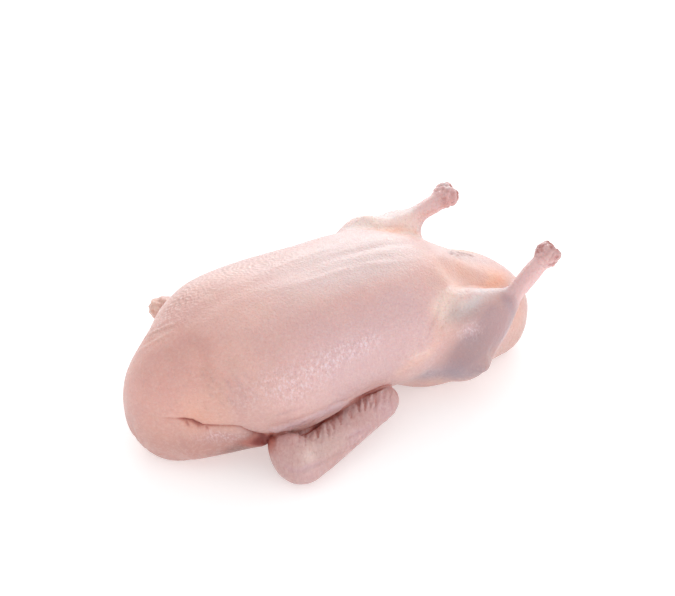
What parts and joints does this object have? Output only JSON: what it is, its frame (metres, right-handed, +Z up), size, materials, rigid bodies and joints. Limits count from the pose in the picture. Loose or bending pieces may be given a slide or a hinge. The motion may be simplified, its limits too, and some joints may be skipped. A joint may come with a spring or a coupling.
{
  "type": "whole raw duck",
  "caption": "Whole raw duck, plucked and dressed, lying on its back with the breast up, wings folded at its sides and bare leg ends raised.",
  "frame": {"origin": "centre of the bird's box on the surface that it lies on", "axes": "+X towards the tail, +Y towards the bird's left wing, +Z up, out of the breast"},
  "size_m": [0.3263, 0.2173, 0.1125],
  "materials": {
    "skin": "moist pale pink skin, softly shining"
  },
  "bodies": {
    "root": {"duck": "skin"}
  },
  "joints": []
}
